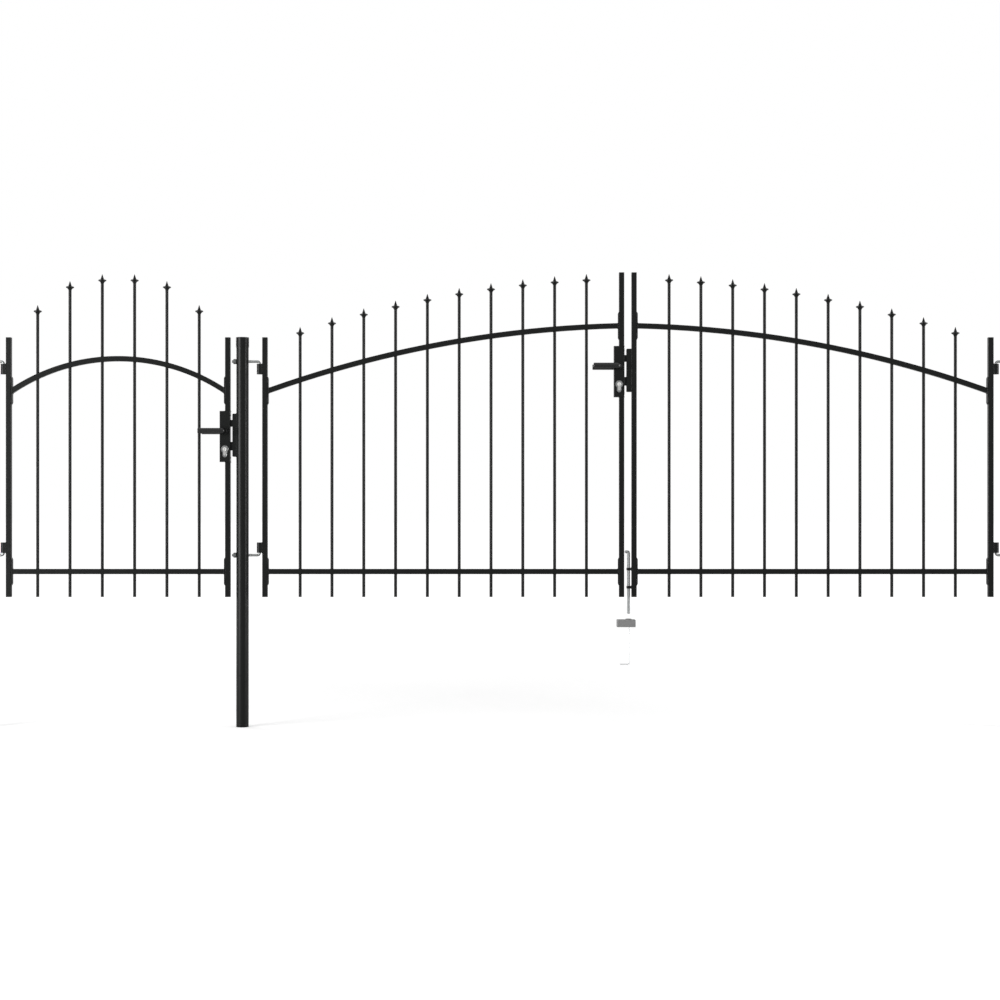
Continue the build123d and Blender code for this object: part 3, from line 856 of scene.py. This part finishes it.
def rail_end_outline(name, x):
    """The outline of a rail's end on the plate at x."""
    face = [(place.y, place.z) for place in points_of(name) if abs(place.x - x) < TOUCHING]
    return [Vector((x, y, z)) for y, z in hull(face)]


def add_path(vertices, edges, places, closed):
    """Adds one line of places to a set of paths."""
    first = len(vertices)
    vertices.extend(places)
    count = len(places)
    edges.extend((first + i, first + i + 1) for i in range(count - 1))
    if closed:
        edges.append((first + count - 1, first))


# Weld beads


# The stretches of an end plate's height that are welded
PLATE_RUNS = ((0.06, 0.24), (0.76, 0.94))
# How far the beads beside the keeps stop short of the keeps' ends
LEAF_KEEP_INSET = 0.004
POST_KEEP_INSET = 0.002
ARC_STEPS = 6
# How far above and below the rail a picket's ring starts
RING_ROOM = 0.05


def frame_weld_paths(leaf):
    """Paths of the beads on one leaf: rails on plates, plates and barrels on stiles."""
    vertices, edges = [], []
    for rail in ("bottom_rail", "arch_rail"):
        low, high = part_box(f"{leaf}_{rail}")
        for x in (low.x, high.x):
            add_path(vertices, edges, rail_end_outline(f"{leaf}_{rail}", x), True)
    middle = middle_x(*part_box(f"{leaf}_bottom_rail"))
    for low, high in islands(f"{leaf}_end_plates"):
        x = low.x if low.x < middle else high.x
        tall = high.z - low.z
        for y in (low.y, high.y):
            for start, stop in PLATE_RUNS:
                line = [Vector((x, y, low.z + tall * share)) for share in (start, stop)]
                add_path(vertices, edges, line, False)
    stile_low, stile_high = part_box(f"{leaf}_hinge_stile")
    for low, high in islands(f"{leaf}_hinge_barrels"):
        x = stile_low.x if low.x < stile_low.x else stile_high.x
        loop = [
            Vector((x, y, z))
            for y, z in (
                (stile_low.y, low.z),
                (stile_high.y, low.z),
                (stile_high.y, high.z),
                (stile_low.y, high.z),
            )
        ]
        add_path(vertices, edges, loop, True)
    return vertices, edges


def upright_lines(x, y, low, high, inset):
    """Two upright lines on the front and back of a contact, short of its ends."""
    return [
        [Vector((x, side * y, low.z + inset)), Vector((x, side * y, high.z - inset))]
        for side in (-1.0, 1.0)
    ]


def case_weld_paths(leaf):
    """Loops where the free stile's two lengths stand on the lock case."""
    vertices, edges = [], []
    low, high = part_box(f"{leaf}_latch_stile")
    case_low, case_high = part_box(f"{leaf}_lock_case")
    for z in (case_low.z, case_high.z):
        corners = [(low.x, low.y), (high.x, low.y), (high.x, high.y), (low.x, high.y)]
        add_path(vertices, edges, [Vector((x, y, z)) for x, y in corners], True)
    return vertices, edges


def guide_weld_paths():
    """Beads on the right leaf: around both guides of the drop bolt, and beside the keep."""
    vertices, edges = [], []
    stile_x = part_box("right_leaf_latch_stile")[0].x
    for low, high in islands("right_leaf_bolt_guides"):
        loop = [(low.y, low.z), (high.y, low.z), (high.y, high.z), (low.y, high.z)]
        add_path(vertices, edges, [Vector((stile_x, y, z)) for y, z in loop], True)
    low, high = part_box("right_leaf_keep")
    for line in upright_lines(stile_x, high.y, low, high, LEAF_KEEP_INSET):
        add_path(vertices, edges, line, False)
    return vertices, edges


def post_weld_paths():
    """Beads between the middle post and its keep."""
    vertices, edges = [], []
    post_low, post_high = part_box("middle_post")
    radius = (post_high.x - post_low.x) / 2
    low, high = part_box("middle_post_keep")
    half = high.y
    contact_x = middle_x(post_low, post_high) - math.sqrt(radius**2 - half**2)
    for line in upright_lines(contact_x, half, low, high, POST_KEEP_INSET):
        add_path(vertices, edges, line, False)
    for z in (low.z, high.z):
        steps = range(-ARC_STEPS, ARC_STEPS + 1)
        turns = [math.asin(half / radius) * step / ARC_STEPS for step in steps]
        arc = [Vector((-radius * math.cos(turn), radius * math.sin(turn), z)) for turn in turns]
        add_path(vertices, edges, arc, False)
    return vertices, edges


def ring_seats(leaf, level):
    """A point on each picket's middle line, at the given height."""
    return [
        Vector((middle_x(low, high), (low.y + high.y) / 2, level))
        for low, high in islands(f"{leaf}_pickets")
    ]


class GATE_OT_weld_beads(bpy.types.Operator):
    """Lays the weld beads of the leaves, their barrels, plates, keeps and guides"""

    bl_idname = "gate.weld_beads"
    bl_label = "Weld Beads"

    def execute(self, context):
        sizes = context.scene.gate_welds
        bead_tree = weld_bead_tree()
        ring_tree = picket_ring_tree(bead_tree)
        finish = material_named("weld")
        shared = {"Ripple Pitch": sizes.ripple, "Seed": sizes.seed, "Material": finish}
        joints = {f"{leaf}_frame_welds": (leaf, frame_weld_paths(leaf)) for leaf in LEAVES}
        joints |= {f"{leaf}_case_welds": (leaf, case_weld_paths(leaf)) for leaf in LOCKED_LEAVES}
        joints["right_leaf_guide_welds"] = ("right_leaf", guide_weld_paths())
        joints["middle_post_keep_welds"] = ("posts", post_weld_paths())
        for name, (body, (vertices, edges)) in joints.items():
            values = {**shared, "Bead Radius": sizes.bead}
            piece = grown(name, vertices, edges, bead_tree, values)
            settled(piece, body)
        for leaf in LEAVES:
            for rail in ("bottom_rail", "arch_rail"):
                low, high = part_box(f"{leaf}_{rail}")
                places = ring_seats(leaf, (low.z + high.z) / 2)
                values = {
                    **shared,
                    "Bead Radius": sizes.picket_bead,
                    "Rail": frame["nodes"][f"{leaf}_{rail}"],
                    "Reach": (high.z - low.z) / 2 + RING_ROOM,
                }
                piece = grown(f"{leaf}_{rail}_picket_welds", places, [], ring_tree, values)
                settled(piece, leaf)
        return {"FINISHED"}


# Threads


# How far the thread stops short of the bolt's end, and the radius on which it is wound
THREAD_INSET = 0.0008
THREAD_ROOT = 0.0049


class GATE_OT_bolt_threads(bpy.types.Operator):
    """Winds the screw thread on the level leg of each hinge bolt"""

    bl_idname = "gate.bolt_threads"
    bl_label = "Bolt Threads"

    def execute(self, context):
        sizes = context.scene.gate_threads
        levels = {round((low.z + high.z) / 2, 4) for low, high in islands("hinge_nuts")}
        places = []
        lengths = []
        for low, high in islands("hinge_bolts"):
            post_low, post_high = self.nearest_post(middle_x(low, high))
            level = min(sorted(levels), key=lambda z: min(abs(z - low.z), abs(z - high.z)))
            if high.x - post_high.x > post_low.x - low.x:
                start = low.x + THREAD_INSET
                length = post_high.x + sizes.past_post - low.x
            else:
                start = post_low.x - sizes.past_post
                length = high.x - post_low.x
            places.append(Vector((start, 0.0, level)))
            lengths.append(length)
        values = {
            "Pitch": sizes.pitch,
            "Length": lengths[0] - 2 * THREAD_INSET,
            "Rod Radius": THREAD_ROOT,
            "Material": material_named("zinc"),
        }
        piece = grown("hinge_bolt_threads", places, [], thread_tree(), values)
        settled(piece, "posts")
        return {"FINISHED"}

    @staticmethod
    def nearest_post(x):
        """The box of the post that stands closest to a place along the gate."""
        return min((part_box(name) for name in POSTS), key=lambda box: abs(middle_x(*box) - x))


# Lock trim


# How far a core stands out of its cylinder, also the width of its edge, and how deep it goes in
CORE_PROUD = 0.0003
CORE_SUNK = 0.0005
# Half the width and depth of the key slot, a thin dark sheet of painted shade for the keyway's hollow,
# and how far it lies below the core's middle
KEYWAY_HALF = (0.00055, 0.0001)
KEYWAY_DROP = 0.0006
# The plate on a lock's edge: thickness, half its width, its distance from the case's ends, the gap
# around the bolts, and how far in from its ends and how deep in its thickness the screws sit
PLATE_THICK = 0.0008
PLATE_HALF = 0.011
PLATE_MARGIN = 0.008
PLATE_GAP = 0.0006
SCREW_INSET = 0.008
SCREW_SEAT = 0.6


def finished_mesh(name, shape, finish, smooth=False):
    """A linked object from a bmesh, its faces turned outwards."""
    bmesh.ops.recalc_face_normals(shape, faces=shape.faces)
    mesh = bpy.data.meshes.new(name)
    shape.to_mesh(mesh)
    shape.free()
    mesh.materials.append(finish)
    if smooth:
        mesh.polygons.foreach_set("use_smooth", [True] * len(mesh.polygons))
    return linked(name, mesh)


def screw_head(diameter, finish):
    """A shallow domed head with a crossed recess, facing +Z."""
    shape = bmesh.new()
    rings = [(0.5, 0.0), (0.5, 0.05), (0.44, 0.13), (0.3, 0.18), (0.0, 0.2)]
    sides = 20
    rows = []
    for share, rise in rings[:-1]:
        rows.append([
            shape.verts.new((
                diameter * share * math.cos(math.tau * i / sides),
                diameter * share * math.sin(math.tau * i / sides),
                diameter * rise,
            ))
            for i in range(sides)
        ])
    crown = shape.verts.new((0.0, 0.0, diameter * rings[-1][1]))
    for lower, upper in zip(rows, rows[1:]):
        for i in range(sides):
            j = (i + 1) % sides
            shape.faces.new((lower[i], lower[j], upper[j], upper[i]))
    for i in range(sides):
        shape.faces.new((rows[-1][i], rows[-1][(i + 1) % sides], crown))
    shape.faces.new(rows[0][::-1])
    head = finished_mesh("screw_head", shape, finish, smooth=True)
    cutter_shape = bmesh.new()
    for turn in (0.0, math.pi / 2):
        made = bmesh.ops.create_cube(cutter_shape, size=1.0)
        scale = Matrix.Diagonal((diameter * 0.5, diameter * 0.11, diameter * 0.2, 1.0))
        place = Matrix.Translation((0.0, 0.0, diameter * 0.2))
        bmesh.ops.transform(
            cutter_shape,
            verts=made["verts"],
            matrix=place @ Matrix.Rotation(turn, 4, "Z") @ scale,
        )
    cutter = finished_mesh("screw_cutter", cutter_shape, finish)
    cut = head.modifiers.new("recess", "BOOLEAN")
    cut.object = cutter
    cut.operation = "DIFFERENCE"
    cut.solver = "EXACT"
    cut.use_self = True
    bpy.context.view_layer.update()
    mesh = bpy.data.meshes.new_from_object(head.evaluated_get(bpy.context.evaluated_depsgraph_get()))
    head.modifiers.remove(cut)
    bpy.data.objects.remove(cutter)
    head.data = mesh
    return head


def lathe(shape, profile, centre, sides=40):
    """Turns a profile of (radius, depth) about Y through a point, as a closed skin."""
    rows = []
    for radius, depth in profile:
        if radius == 0.0:
            rows.append([shape.verts.new((centre.x, centre.y + depth, centre.z))])
            continue
        rows.append([
            shape.verts.new((
                centre.x + radius * math.cos(math.tau * i / sides),
                centre.y + depth,
                centre.z + radius * math.sin(math.tau * i / sides),
            ))
            for i in range(sides)
        ])
    for lower, upper in zip(rows, rows[1:]):
        for i in range(sides):
            j = (i + 1) % sides
            turns = ((lower, i), (lower, j), (upper, j), (upper, i))
            corners = [row[turn % len(row)] for row, turn in turns]
            shape.faces.new(list(dict.fromkeys(corners)))


def box_faces(shape, low, high):
    """A closed box between two corners."""
    made = bmesh.ops.create_cube(shape, size=1.0)
    middle = (low + high) / 2
    size = high - low
    bmesh.ops.transform(
        shape,
        verts=made["verts"],
        matrix=Matrix.Translation(middle) @ Matrix.Diagonal((*size, 1.0)),
    )


def cylinder_front(leaf):
    """Middle of the key cylinder's round head, and its two end faces."""
    solids = islands(f"{leaf}_lock_cylinder")
    low, high = max(solids, key=lambda box: box[1].y - box[0].y)
    radius = (high.x - low.x) / 2
    return Vector(((low.x + high.x) / 2, 0.0, high.z - radius)), low.y, high.y


class GATE_OT_lock_trim(bpy.types.Operator):
    """Adds the cylinders' cores and the dark sheets of painted shade in their key slots, the lock's front
    plates and the screws
    """

    bl_idname = "gate.lock_trim"
    bl_label = "Lock Trim"

    def execute(self, context):
        sizes = context.scene.gate_locks
        for leaf in LOCKED_LEAVES:
            self.add_cores(leaf, sizes)
            self.add_front_plate(leaf, sizes)
        return {"FINISHED"}

    def add_cores(self, leaf, sizes):
        """The turning core, in its painted-highlight finish, and a dark sheet of painted shade for its
        key slot, on both faces of the cylinder.
        """
        middle, front, back = cylinder_front(leaf)
        core = bmesh.new()
        keyway_shade = bmesh.new()
        radius = sizes.rotor_diameter / 2
        for face, way in ((front, -1.0), (back, 1.0)):
            centre = Vector((middle.x, face, middle.z))
            out = way * CORE_PROUD
            sunk = -way * CORE_SUNK
            profile = [(0.0, out), (radius - CORE_PROUD, out), (radius, 0.0), (radius, sunk), (0.0, sunk)]
            lathe(core, profile, centre)
            half = Vector((*KEYWAY_HALF, sizes.keyway_height / 2))
            at = centre + Vector((0.0, out, -KEYWAY_DROP))
            box_faces(keyway_shade, at - half, at + half)
        # The cores take the bright core finish: a painted highlight
        piece = finished_mesh(f"{leaf}_cylinder_cores", core, material_named("core"))
        settled(piece, leaf)
        # The key slot is a thin dark sheet in the plastic finish: painted shade for the keyway's hollow
        piece = finished_mesh(f"{leaf}_key_slots", keyway_shade, material_named("plastic"))
        settled(piece, leaf)

    def add_front_plate(self, leaf, sizes):
        """The plate around both bolts on the edge of the case, with its two screws."""
        low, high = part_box(f"{leaf}_lock_case")
        latch_low, latch_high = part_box(f"{leaf}_latch_bolt")
        dead_low, dead_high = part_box(f"{leaf}_deadbolt")
        face = high.x
        bottom, top = low.z + PLATE_MARGIN, high.z - PLATE_MARGIN
        shape = bmesh.new()
        rows = [
            (bottom, dead_low.z - PLATE_GAP, None),
            (dead_low.z - PLATE_GAP, dead_high.z + PLATE_GAP, dead_high.y + PLATE_GAP),
            (dead_high.z + PLATE_GAP, latch_low.z - PLATE_GAP, None),
            (latch_low.z - PLATE_GAP, latch_high.z + PLATE_GAP, latch_high.y + PLATE_GAP),
            (latch_high.z + PLATE_GAP, top, None),
        ]
        for start, stop, hole in rows:
            spans = [(-PLATE_HALF, -hole), (hole, PLATE_HALF)] if hole else [(-PLATE_HALF, PLATE_HALF)]
            for left, right in spans:
                box_faces(shape, Vector((face, left, start)), Vector((face + PLATE_THICK, right, stop)))
        piece = finished_mesh(f"{leaf}_lock_front_plate", shape, material_named("lever"))
        settled(piece, leaf)
        head = screw_head(sizes.screw_diameter, material_named("zinc"))
        seat = face + PLATE_THICK * SCREW_SEAT
        places = [Vector((seat, 0.0, z)) for z in (bottom + SCREW_INSET, top - SCREW_INSET)]
        values = {"Head": head, "Seed": 3, "Material": material_named("zinc")}
        screws = grown(f"{leaf}_lock_screws", places, [], screw_tree(), values, [(1.0, 0.0, 0.0)] * 2)
        bpy.data.objects.remove(head)
        settled(screws, leaf)


# Coatings


class GATE_OT_coat_steel(bpy.types.Operator):
    """Gives every steel, plastic and plated piece its finish"""

    bl_idname = "gate.coat_steel"
    bl_label = "Coat Steel"

    def execute(self, context):
        colours = context.scene.gate_coatings
        groups = {"tint": tint_group(), "skin": orange_peel_group(), "spangle": spangle_group()}
        chosen = {
            "powder": colours.powder,
            "weld": colours.powder,
            "plastic": colours.plastic,
            "zinc": colours.zinc,
            # Shaded and lit copies of the zinc: painted shade on the nuts, painted light on the anchor
            "shaded_zinc": colours.shaded_zinc,
            "rod_zinc": colours.rod_zinc,
            "lit_zinc": colours.lit_zinc,
            "stop": colours.stop_grey,
            "nickel": colours.nickel,
            "core": colours.core,
            "lever": colours.lever,
        }
        for name, colour in chosen.items():
            coated_material(name, colour, LOOKS[name], groups)
        for subpart in frame["record"]["subparts"]:
            piece = frame["nodes"][subpart["node"]]
            piece.data.materials.clear()
            finish = FINISH_OF_NODE.get(subpart["node"], FINISH_OF_SLOT[subpart["material_slot"]])
            piece.data.materials.append(material_named(finish))
        return {"FINISHED"}


# Stage


# Each tall lamp: its place from the gate's middle on the front, its width and its radiance
TALL_LAMPS = (
    ("left", (-5.2, 3.6, 0.6), 3.0, 11.0),
    ("right", (6.4, 1.9, 0.6), 1.5, 13.0),
)
TALL_LAMP_HEIGHT = 3.4
# The lamps behind the gate, as a share of those in front
BACK_SHARE = 0.4
# The lamp above: its height over the gate's middle, its width and depth, its radiance
OVERHEAD = (4.5, 6.0, 4.0, 0.8)
TARGET_HEIGHT = 0.8
FLOOR_COLOUR = (0.86, 0.86, 0.86, 1.0)
# The floor's glow for the camera: from near to far, and its strength at both
FLOOR_GLOW = (1.5, 9.0, 0.28, 0.75)
FLOOR_REACH = 60.0
FLOOR_DROP = 0.0005
WHITE = (1.0, 1.0, 1.0, 1.0)


def soft_lamp(name, place, target, width, height, radiance):
    """A soft rectangular lamp that faces a point, as bright as given wherever it is seen."""
    data = bpy.data.lights.new(name, "AREA")
    data.shape = "RECTANGLE"
    data.size = width
    data.size_y = height
    data.energy = radiance * math.pi * width * height
    lamp = linked(name, data)
    lamp.location = place
    lamp.rotation_euler = (target - place).to_track_quat("-Z", "Y").to_euler()


def studio_world(ambient):
    """White for the camera and for reflections, dimmer as a light."""
    world = bpy.data.worlds.new("studio")
    world.use_nodes = True
    tree = world.node_tree
    tree.nodes.clear()
    path = node(tree, "ShaderNodeLightPath")
    glossy = maths(tree, "MAXIMUM", path.outputs["Is Camera Ray"], path.outputs["Is Glossy Ray"])
    seen = maths(tree, "MAXIMUM", glossy, path.outputs["Is Transmission Ray"])
    strength = ranged(tree, seen, 0.0, 1.0, ambient, 1.0)
    glow = node(tree, "ShaderNodeBackground", {"Color": WHITE, "Strength": strength})
    node(tree, "ShaderNodeOutputWorld", {"Surface": glow.outputs[0]})
    bpy.context.scene.world = world


def pale_floor():
    """A wide white floor at the posts' feet, which keeps the gate's soft shadow."""
    material = bpy.data.materials.new("floor_white")
    material.use_nodes = True
    tree = material.node_tree
    tree.nodes.clear()
    path = node(tree, "ShaderNodeLightPath")
    matt = node(tree, "ShaderNodeBsdfDiffuse", {"Color": FLOOR_COLOUR})
    away = node(tree, "ShaderNodeVectorMath", {0: object_place(tree)}, operation="LENGTH")
    fade = ranged(tree, away.outputs["Value"], *FLOOR_GLOW)
    lift = maths(tree, "MULTIPLY", path.outputs["Is Camera Ray"], fade)
    glow = node(tree, "ShaderNodeEmission", {"Color": WHITE, "Strength": lift})
    both = node(tree, "ShaderNodeAddShader", {0: matt.outputs[0], 1: glow.outputs[0]})
    node(tree, "ShaderNodeOutputMaterial", {"Surface": both.outputs[0]})
    mesh = bpy.data.meshes.new("floor")
    signs = ((-1, -1), (1, -1), (1, 1), (-1, 1))
    corners = [(x * FLOOR_REACH, y * FLOOR_REACH, 0.0) for x, y in signs]
    mesh.from_pydata(corners, [], [(0, 1, 2, 3)])
    mesh.materials.append(material)
    floor = linked("floor", mesh)
    floor.location.z = -FLOOR_DROP


class GATE_OT_studio_stage(bpy.types.Operator):
    """Sets the floor, the soft lamps and the camera"""

    bl_idname = "gate.studio_stage"
    bl_label = "Studio Stage"

    def execute(self, context):
        sizes = context.scene.gate_stage
        middle = (cad_box[0] + cad_box[1]) / 2
        target = Vector((middle[0], 0.0, TARGET_HEIGHT))
        for part, way, share in (("front", -1.0, 1.0), ("back", 1.0, BACK_SHARE)):
            bright = sizes.lamps * share
            for side, (x, y, z), width, radiance in TALL_LAMPS:
                place = target + Vector((x, way * y, z))
                soft_lamp(f"{part}_{side}", place, target, width, TALL_LAMP_HEIGHT, radiance * bright)
        rise, width, depth, radiance = OVERHEAD
        above = target + Vector((0.0, 0.0, rise))
        soft_lamp("overhead", above, target, width, depth, radiance * sizes.lamps)
        studio_world(sizes.ambient)
        pale_floor()
        data = bpy.data.cameras.new("camera")
        data.sensor_fit = "HORIZONTAL"
        data.sensor_width = 36.0
        data.lens = sizes.lens
        data.clip_end = 200.0
        camera = linked("camera", data)
        camera.location = sizes.camera_place
        camera.rotation_euler = (math.pi / 2, 0.0, 0.0)
        context.scene.camera = camera
        context.scene.view_settings.view_transform = "Standard"
        return {"FINISHED"}


class GATE_PT_finish(bpy.types.Panel):
    """Lists the steps that dress the gate"""

    bl_idname = "GATE_PT_finish"
    bl_label = "Driveway Gate"
    bl_space_type = "VIEW_3D"
    bl_region_type = "UI"
    bl_category = "Gate"

    def draw(self, context):
        for operator in OPERATORS:
            self.layout.operator(operator.bl_idname)
        for name in SETTINGS:
            box = self.layout.box()
            group = getattr(context.scene, name)
            for key in group.__annotations__:
                box.prop(group, key)


SETTINGS = {
    "gate_coatings": GateCoatingSettings,
    "gate_welds": GateWeldSettings,
    "gate_threads": GateThreadSettings,
    "gate_locks": GateLockSettings,
    "gate_stage": GateStageSettings,
}
OPERATORS = (
    GATE_OT_coat_steel,
    GATE_OT_weld_beads,
    GATE_OT_bolt_threads,
    GATE_OT_lock_trim,
    GATE_OT_studio_stage,
)
CLASSES = (*SETTINGS.values(), *OPERATORS, GATE_PT_finish)


def register():
    """Makes the settings, the operators and the panel known"""
    for item in CLASSES:
        bpy.utils.register_class(item)
    for name, group in SETTINGS.items():
        setattr(bpy.types.Scene, name, PointerProperty(type=group))


def unregister():
    """Takes back all that register has made known"""
    for name in SETTINGS:
        delattr(bpy.types.Scene, name)
    for item in reversed(CLASSES):
        bpy.utils.unregister_class(item)


def main():
    """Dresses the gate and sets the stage"""
    register()
    bpy.ops.gate.coat_steel()
    bpy.ops.gate.weld_beads()
    bpy.ops.gate.bolt_threads()
    bpy.ops.gate.lock_trim()
    bpy.ops.gate.studio_stage()


if __name__ == "__main__":
    main()
